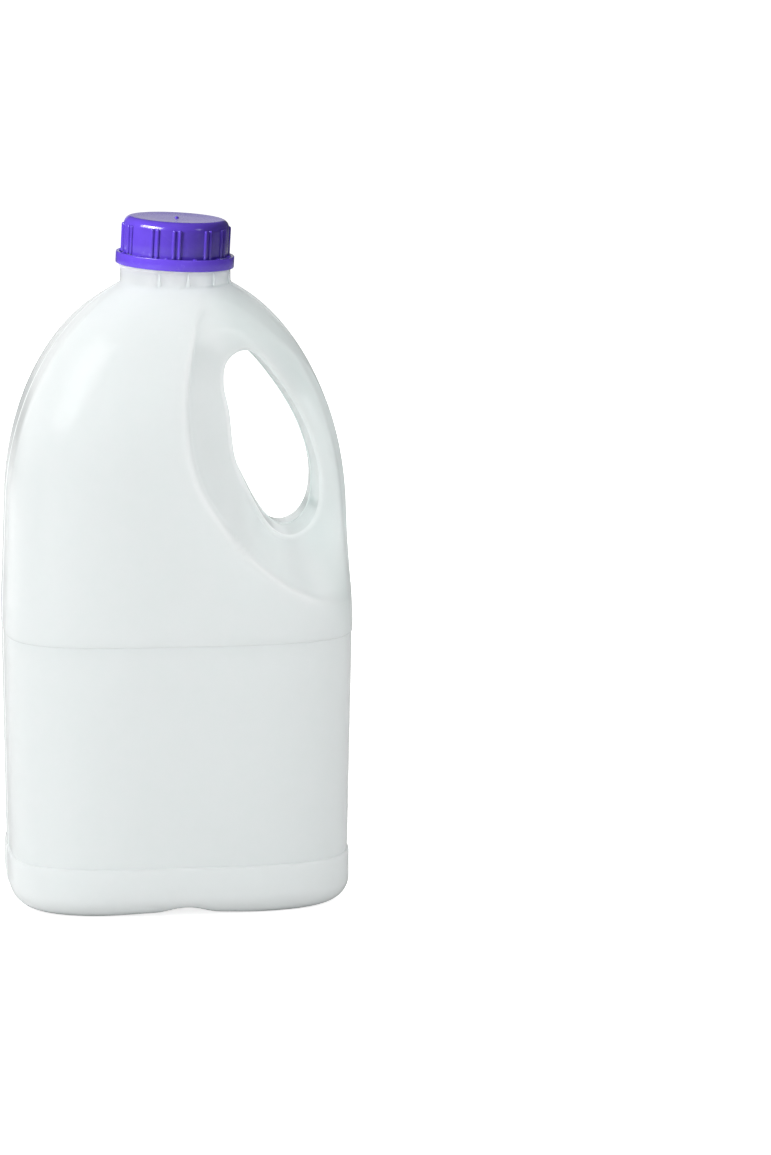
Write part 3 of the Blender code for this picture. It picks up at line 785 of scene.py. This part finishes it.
def deleteWindow(sheet, order, first, last, low, high):
    # front and back windows lie mirrored round the ring
    columns = order.shape[1]
    inside = set(order[low + 1:high, first + 1:last].reshape(-1).tolist())
    inside |= set(order[low + 1:high, columns - last:columns - 1 - first].reshape(-1).tolist())
    editWhole(sheet)
    bpy.ops.mesh.select_mode(type="VERT")
    bpy.ops.mesh.select_all(action="DESELECT")
    bpy.ops.object.mode_set(mode="OBJECT")
    for vertex in sheet.data.vertices:
        vertex.select = vertex.index in inside
    bpy.ops.object.mode_set(mode="EDIT")
    bpy.ops.mesh.delete(type="VERT")
    bpy.ops.object.mode_set(mode="OBJECT")


paintedGlow = {
    # how much painted light the skin gives off: it lifts the shade in the hand recess, inside the hole,
    # towards the neck and under the cap, and paints a highlight along the recess's raised line
    "hollow": 0.050,              # painted light lifting the shade in the hand recess
    "wall": 0.040,                # painted light lifting the shade inside the hole
    "edge": 0.045,                # painted highlight along the recess's raised line
    "neck": 0.040,                # painted light lifting the shade towards the top of the milk
    "underCap": 0.22,             # painted light lifting the band's shadow on the collar
    # where each begins, and the run over which it grows
    "hollowDepth": (0.0, 0.004),
    "hollowZ": (0.112, 0.010),
    "hollowLeft": (0.036, -0.014),
    "hollowLeftZ": (0.212, -0.016),
    "hollowLowZ": (0.158, -0.020),
    "wallReach": (0.0004, -0.0012),
    "edgeDepth": 0.012,
    "neckZ": (0.208, 0.024),
    "underCapZ": (0.2375, 0.003),
}


def markPaintedGlow(skin):
    # painted light kept with each point of the mesh: it lifts the shade in the recess, the hole, towards
    # the neck and on the collar, and paints a highlight along the raised line
    places = np.empty(len(skin.data.vertices) * 3)
    skin.data.vertices.foreach_get("co", places)
    x, y, z = places.reshape(-1, 3).T
    y = np.abs(y)
    _, reach, lip, edge = fromRim(x, z)
    pressed = sectionDepth(np.clip(x, 0.0, None), z) - y
    # the hand recess, where painted light lifts the shade
    left = easeFrom(x, *paintedGlow["hollowLeft"]) * easeFrom(z, *paintedGlow["hollowLeftZ"])
    hollow = easeFrom(pressed, *paintedGlow["hollowDepth"]) * easeFrom(z, *paintedGlow["hollowZ"]) * (x > 0)
    hollow = hollow * np.maximum(left, easeFrom(z, *paintedGlow["hollowLowZ"]))
    # painted light by place, with a painted highlight along the raised line
    amount = (
        paintedGlow["hollow"] * hollow
        + paintedGlow["wall"] * easeFrom(reach - lip, *paintedGlow["wallReach"])
        + paintedGlow["neck"] * easeFrom(z, *paintedGlow["neckZ"])
        + paintedGlow["edge"] * edgeBead(x, z, reach - edge) * (y > paintedGlow["edgeDepth"])
        + paintedGlow["underCap"] * easeFrom(z, *paintedGlow["underCapZ"])
    )
    layer = skin.data.attributes.new("paintedGlow", "FLOAT", "POINT")
    layer.data.foreach_set("value", amount)


def makeJug():
    body = wallPlaces()
    wall = np.concatenate((floorPlaces(body[0]), body, neckPlaces(body[-1])))
    wall[:, :, 2] += archLift(wall[:, :, 0], wall[:, :, 2])
    sheet, order = addSheet("jugWall", wall)
    first, last, low, high, loop = windowEdge(wall)
    lining, _ = addSheet("gripLining", liningPlaces(wall, loop))
    deleteWindow(sheet, order, first, last, low, high)
    skin = joinPieces("jugSkin", [sheet, lining])
    closeMesh(skin)
    markPaintedGlow(skin)
    pick(skin)
    bpy.ops.object.shade_smooth()
    return skin


jugSkin = makeJug()
print("jug skin:", len(jugSkin.data.polygons), "faces")


# ratchet teeth on the collar, in two opposite groups of four

teeth = {
    "angles": (-22.5, 7.6, 37.6, 67.6),
    "top": 0.2392,
    "bottom": 0.2338,
    "topWidth": 0.0005,
    "bottomWidth": 0.0015,
    "topStand": 0.00012,
    "stand": 0.00065,
    "sink": 0.0008,
    "edge": 0.00022,
    "edgeSteps": 3,
}


def makeTooth():
    startFresh()
    height = teeth["top"] - teeth["bottom"]
    reach = teeth["sink"] + teeth["stand"]
    out = jug["collarRadius"] + teeth["stand"] - reach / 2
    middle = (teeth["top"] + teeth["bottom"]) / 2
    size = (teeth["bottomWidth"], reach, height)
    bpy.ops.mesh.primitive_cube_add(size=1, location=(0, -out, middle), scale=size)
    tooth = bpy.context.object
    applyPlace(tooth)
    for vertex in tooth.data.vertices:
        if vertex.co.z > middle:
            vertex.co.x *= teeth["topWidth"] / teeth["bottomWidth"]
            if vertex.co.y < -out:
                vertex.co.y += teeth["stand"] - teeth["topStand"]
    roundEdges(tooth, teeth["edge"], teeth["edgeSteps"])
    return tooth


def makeTeeth():
    first = makeTooth()
    copies = [copyTurned(first, angle + half) for half in (0, 180) for angle in teeth["angles"]]
    bpy.data.objects.remove(first)
    ring = joinPieces("collarTeeth", copies)
    pick(ring)
    bpy.ops.object.shade_smooth_by_angle(angle=math.radians(40))
    return ring


collarTeeth = makeTeeth()
print("collar teeth done")


# screw cap with its tamper band

cap = {
    "radius": 0.0197,
    "topZ": 0.2578,
    "bottomZ": 0.2442,
    "wall": 0.0017,
    "ceilingZ": 0.2543,
    "shoulderRun": 0.0028,
    "shoulderDrop": 0.0034,
    "dish": 0.00018,
    "dishShares": (0.94, 0.85, 0.7, 0.5, 0.3, 0.15, 0.08),
    "nubRadius": 0.0008,
    "nubHeight": 0.00055,
    "sides": 288,
    "ribRadius": 0.00070,
    "ribSides": 20,
    "ribEdge": 0.00056,
    "ribEdgeSteps": 5,
    "ribTopZ": 0.2552,
    "ribLift": 0.0002,
    "ribGroups": 6,
    "ribPairStep": 24.0,
    "ribTwinStep": 6.2,
    "ribStart": 1.1,
    "bandInner": 0.0207,
    "bandOuter": 0.0221,
    "bandBottomZ": 0.2402,
    "bandTopZ": 0.2445,
    "bandEdge": 0.00030,
    "pins": 12,
    "pinWidth": 0.0010,
    "pinHeight": 0.0007,
    "pinRoot": 0.0004,
    "pinDrop": 0.0001,
    "pinEdge": 0.00012,
    "lean": 2.7,                  # degrees that it sits askew on the neck, to the right
    "leanForward": 1.0,           # and forwards
    "sink": 0.0003,
}


def turnRings(name, rings, closed):
    # a circle extruded from ring to ring, each as radius and height
    startFresh()
    radius, height = rings[0]
    bpy.ops.mesh.primitive_circle_add(vertices=cap["sides"], radius=radius, location=(0, 0, height))
    turned = bpy.context.object
    turned.name = name
    applyPlace(turned)
    editWhole(turned)
    for nextRadius, nextHeight in rings[1:] + (rings[:1] if closed else []):
        bpy.ops.mesh.extrude_region_move(TRANSFORM_OT_translate={"value": (0, 0, nextHeight - height)})
        scale = nextRadius / radius
        bpy.ops.transform.resize(value=(scale, scale, 1), center_override=(0, 0, 0))
        radius, height = nextRadius, nextHeight
    bpy.ops.object.mode_set(mode="OBJECT")
    return turned


def makeDrum():
    radius, low, ceiling = cap["radius"], cap["bottomZ"], cap["ceilingZ"]
    inner, flat = radius - cap["wall"], radius - cap["shoulderRun"]
    point = 0.00002               # radius of the rings that close the middle
    rings = [(point, ceiling), (inner - 0.0005, ceiling), (inner, ceiling - 0.0005)]
    rings += [(inner, low + 0.0002), (inner + 0.0002, low)]
    rings += [(radius - 0.00025, low), (radius - 0.00007, low + 0.00007), (radius, low + 0.00025)]
    rings += [(radius, low + 0.005)]
    top, run, drop = cap["topZ"], cap["shoulderRun"], cap["shoulderDrop"]
    for cosine, sine in arc(np.linspace(0, 90, 15)):
        rings.append((radius - run * (1 - cosine), top - drop * (1 - sine)))
    for share in cap["dishShares"]:
        rings.append((flat * share, top - cap["dish"] * ease((1 - share) / 0.5)))
    dishZ, nub = top - cap["dish"], cap["nubRadius"]
    rings.append((nub * 1.3, dishZ))
    rings += [(nub * cosine, dishZ + cap["nubHeight"] * sine) for cosine, sine in arc((0, 30, 60, 85))]
    rings.append((point, dishZ + cap["nubHeight"]))
    drum = turnRings("capDrum", rings, False)
    closeMesh(drum, 0.00001)
    return drum


def makeBand():
    inner, outer, low, high = (cap[key] for key in ("bandInner", "bandOuter", "bandBottomZ", "bandTopZ"))
    edge = cap["bandEdge"]
    corners = ((inner, low, 1, 1, 180), (outer, low, -1, 1, 270), (outer, high, -1, -1, 0))
    corners += ((inner, high, 1, -1, 90),)
    rings = []
    for radius, height, inward, upward, start in corners:
        for cosine, sine in arc(range(start, start + 91, 30)):
            rings.append((radius + edge * (inward + cosine), height + edge * (upward + sine)))
    band = turnRings("tamperBand", rings, True)
    closeMesh(band)
    return band


def makeRib():
    startFresh()
    bottom, top = cap["bottomZ"] + cap["ribLift"], cap["ribTopZ"]
    bpy.ops.mesh.primitive_cylinder_add(
        vertices=cap["ribSides"], radius=cap["ribRadius"], depth=top - bottom,
        location=(cap["radius"], 0, (top + bottom) / 2),
    )
    rib = bpy.context.object
    applyPlace(rib)
    roundEdges(rib, cap["ribEdge"], cap["ribEdgeSteps"], 60)
    return rib


def makePin():
    startFresh()
    reach = cap["bandInner"] - cap["radius"] + 2 * cap["pinRoot"]
    middle = ((cap["bandInner"] + cap["radius"]) / 2, 0, cap["bandTopZ"] - cap["pinDrop"])
    size = (reach, cap["pinWidth"], cap["pinHeight"])
    bpy.ops.mesh.primitive_cube_add(size=1, location=middle, scale=size)
    pin = bpy.context.object
    applyPlace(pin)
    roundEdges(pin, cap["pinEdge"], 2)
    return pin


def makeCap():
    drum, band, rib, pin = makeDrum(), makeBand(), makeRib(), makePin()
    ribs = []
    for group in range(cap["ribGroups"]):
        for pair in (0, cap["ribPairStep"]):
            for twin in (-0.5, 0.5):
                turn = cap["ribStart"] + group * 360 / cap["ribGroups"] + pair + twin * cap["ribTwinStep"]
                ribs.append(copyTurned(rib, turn))
    pins = [copyTurned(pin, 360 * (i + 0.5) / cap["pins"]) for i in range(cap["pins"])]
    bpy.data.objects.remove(rib)
    bpy.data.objects.remove(pin)
    drum = joinPieces("capDrum", [drum, *ribs])
    band = joinPieces("tamperBand", [band, *pins])
    middle = (0, 0, cap["bandTopZ"])
    for piece in (drum, band):
        editWhole(piece)
        for lean, axis in ((cap["lean"], "Y"), (cap["leanForward"], "X")):
            bpy.ops.transform.rotate(value=math.radians(-lean), orient_axis=axis, center_override=middle)
        bpy.ops.transform.translate(value=(0, 0, -cap["sink"]))
        bpy.ops.object.mode_set(mode="OBJECT")
        bpy.ops.object.shade_smooth_by_angle(angle=math.radians(35))
    return drum, band


capDrum, tamperBand = makeCap()
print("cap done:", len(capDrum.data.polygons) + len(tamperBand.data.polygons), "faces")


# plastics

def mouldedGroup():
    # fine grain, slow unevenness and light scuffs of a moulded surface, shared by both plastics
    group = bpy.data.node_groups.new("mouldedSurface", "ShaderNodeTree")
    for name in ("Grain Size", "Wave Size", "Grain Height", "Wave Height", "Scuffs"):
        group.interface.new_socket(name, in_out="INPUT", socket_type="NodeSocketFloat")
    for name in ("Height", "Mottle", "Scuff"):
        group.interface.new_socket(name, in_out="OUTPUT", socket_type="NodeSocketFloat")
    nodes, links = group.nodes, group.links
    inputs, outputs = nodes.new("NodeGroupInput"), nodes.new("NodeGroupOutput")
    place = nodes.new("ShaderNodeTexCoord")

    def noise(scale, detail, roughness):
        texture = nodes.new("ShaderNodeTexNoise")
        setInputs(texture, {"Detail": detail, "Roughness": roughness})
        links.new(place.outputs["Object"], texture.inputs["Vector"])
        if isinstance(scale, str):
            links.new(inputs.outputs[scale], texture.inputs["Scale"])
        else:
            setInputs(texture, {"Scale": scale})
        return texture

    def times(first, second):
        return addMaths(group, "MULTIPLY", first, second)

    grain = times(noise("Grain Size", 2.0, 0.55).outputs["Fac"], inputs.outputs["Grain Height"])
    wave = times(noise("Wave Size", 3.0, 0.5).outputs["Fac"], inputs.outputs["Wave Height"])
    links.new(addMaths(group, "ADD", grain, wave), outputs.inputs["Height"])
    links.new(noise(160.0, 4.0, 0.6).outputs["Fac"], outputs.inputs["Mottle"])
    bent = nodes.new("ShaderNodeVectorMath")           # bends the scuffs, which are the edges of cells
    bent.operation = "MULTIPLY_ADD"
    setInputs(bent, {1: (0.012, 0.012, 0.012)})
    links.new(noise(120.0, 2.0, 0.5).outputs["Color"], bent.inputs[0])
    links.new(place.outputs["Object"], bent.inputs[2])
    cells = nodes.new("ShaderNodeTexVoronoi")
    cells.feature = "DISTANCE_TO_EDGE"
    setInputs(cells, {"Scale": 210.0})
    links.new(bent.outputs["Vector"], cells.inputs["Vector"])
    line = addMaths(group, "LESS_THAN", cells.outputs["Distance"], 0.006)
    patch = addMaths(group, "GREATER_THAN", noise(90.0, 2.0, 0.5).outputs["Fac"], 0.60)
    links.new(times(times(line, patch), inputs.outputs["Scuffs"]), outputs.inputs["Scuff"])
    return group


mouldedSurface = mouldedGroup()


def rampBetween(tree, factor, span, colours):
    ramp = tree.nodes.new("ShaderNodeValToRGB")
    for element, position, colour in zip(ramp.color_ramp.elements, span, colours):
        element.position = position
        element.color = (*colour, 1)
    tree.links.new(factor, ramp.inputs["Fac"])
    return ramp.outputs["Color"]


def mixColours(tree, blend, share, first, second):
    # the share and the second colour are plain values or sockets
    mix = tree.nodes.new("ShaderNodeMix")
    mix.data_type = "RGBA"
    mix.blend_type = blend
    tree.links.new(first, mix.inputs["A"])
    for name, value in (("Factor", share), ("B", second)):
        if isinstance(value, bpy.types.NodeSocket):
            tree.links.new(value, mix.inputs[name])
        else:
            setInputs(mix, {name: value})
    return mix.outputs["Result"]


def startPlastic(name, values):
    # mottled colour, uneven gloss and bump
    base = {"Base Color": (*values["colour"], 1), "Roughness": values["roughness"]}
    material, shader = newMaterial(name, base | values["shader"])
    tree = material.node_tree
    surface = tree.nodes.new("ShaderNodeGroup")
    surface.node_tree = mouldedSurface
    setInputs(surface, values["surface"])
    mottle = surface.outputs["Mottle"]
    gloss = [values["roughness"] + spread for spread in values["roughnessSpread"]]
    tree.links.new(addRange(tree, mottle, target=gloss), shader.inputs["Roughness"])
    bump = tree.nodes.new("ShaderNodeBump")
    setInputs(bump, values["bump"])
    tree.links.new(surface.outputs["Height"], bump.inputs["Height"])
    tree.links.new(bump.outputs["Normal"], shader.inputs["Normal"])
    mottled = rampBetween(tree, mottle, values["mottleSpan"], values["mottleColours"])
    return material, shader, surface, mottled


milk = {
    "colour": (0.866, 0.918, 0.913),
    "mottleColours": ((0.866, 0.918, 0.913), (0.874, 0.924, 0.920)),
    "mottleSpan": (0.35, 0.65),
    "emptyAndLiftedColour": (0.875, 0.925, 0.935),  # above the milk, where only the wall is seen, and lighter there as painted light against the shade under the cap
    "milkTopZ": (0.2305, 0.2350),
    "handleShadeColour": (0.80, 0.858, 0.85),   # painted shade: the handle is made a little darker
    "handleShadeAxis": (1.0, 0.0, 0.4),
    "handleShadeSpan": (0.098, 0.110),          # along that axis
    # colour of the painted light that the skin gives off
    "paintedGlowColour": (0.98, 1.0, 0.99),
    "roughness": 0.17,
    "roughnessSpread": (-0.03, 0.05),
    "shader": {"IOR": 1.5, "Subsurface Radius": (1.0, 1.0, 1.0), "Subsurface Scale": 0.010},
    "surface": {
        "Grain Size": 1100.0, "Wave Size": 38.0, "Grain Height": 0.06, "Wave Height": 1.0, "Scuffs": 0.0,
    },
    "bump": {"Distance": 0.0006, "Strength": 0.35},
}


def makeMilkyPlastic(name, softness):
    material, shader, surface, colour = startPlastic(name, milk)
    tree = material.node_tree
    place = tree.nodes.new("ShaderNodeTexCoord")
    # lighter above the milk, partly the empty wall and partly painted light against the cap's shade, and
    # painted shade on the handle
    for axis, span, shape, tint in (
        ((0.0, 0.0, 1.0), milk["milkTopZ"], "LINEAR", milk["emptyAndLiftedColour"]),
        (milk["handleShadeAxis"], milk["handleShadeSpan"], "SMOOTHSTEP", milk["handleShadeColour"]),
    ):
        along = tree.nodes.new("ShaderNodeVectorMath")
        along.operation = "DOT_PRODUCT"
        setInputs(along, {1: axis})
        tree.links.new(place.outputs["Object"], along.inputs[0])
        level = addRange(tree, along.outputs["Value"], span, shape=shape)
        share = tuple(a / b for a, b in zip(tint, milk["colour"]))
        tinted = rampBetween(tree, level, (0.0, 1.0), ((1, 1, 1), share))
        colour = mixColours(tree, "MULTIPLY", 1.0, colour, tinted)
    tree.links.new(colour, shader.inputs["Base Color"])
    # painted light: the marked share of each point glows through the emission
    paintedGlowAttribute = tree.nodes.new("ShaderNodeAttribute")
    paintedGlowAttribute.attribute_name = "paintedGlow"
    light = mixColours(tree, "MULTIPLY", 1.0, paintedGlowAttribute.outputs["Color"], (*milk["paintedGlowColour"], 1))
    tree.links.new(light, shader.inputs["Emission Color"])
    setInputs(shader, {"Subsurface Weight": softness, "Emission Strength": 1.0})
    return material


violet = {
    "colour": (0.096, 0.048, 0.485),
    "mottleColours": ((0.089, 0.044, 0.455), (0.096, 0.048, 0.485)),
    "mottleSpan": (0.35, 0.65),
    "scuffColour": (0.42, 0.36, 0.85),
    "roughness": 0.12,
    "roughnessSpread": (-0.02, 0.05),
    "shader": {"IOR": 1.56},
    "surface": {
        "Grain Size": 2600.0, "Wave Size": 160.0, "Grain Height": 0.35, "Wave Height": 0.5, "Scuffs": 0.08,
    },
    "bump": {"Distance": 0.00012, "Strength": 0.35},
}


def makeVioletPlastic():
    material, shader, surface, colour = startPlastic("violetPlastic", violet)
    tree = material.node_tree
    scuffed = mixColours(tree, "MIX", surface.outputs["Scuff"], colour, (*violet["scuffColour"], 1))
    tree.links.new(scuffed, shader.inputs["Base Color"])
    return material


milkyPlastic = makeMilkyPlastic("milkyPlastic", 1.0)          # light spreads inside it
thinMilkyPlastic = makeMilkyPlastic("thinMilkyPlastic", 0.0)  # and not inside the small teeth
violetPlastic = makeVioletPlastic()
print("plastics mixed")


# dress the frame

def dress(piece, material, node, groups):
    # each group of lamps lights the piece
    for group in groups:
        lit[group].objects.link(piece)
    piece.data.materials.clear()
    piece.data.materials.append(material)
    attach(piece, "root")
    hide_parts(node)


dress(jugSkin, milkyPlastic, "bottle", ["jug"])
dress(collarTeeth, thinMilkyPlastic, "bottle", ["jug"])
dress(capDrum, violetPlastic, "cap", ["cap"])
dress(tamperBand, violetPlastic, "cap", ["cap", "band"])

bpy.context.view_layer.update()
print("dressed")
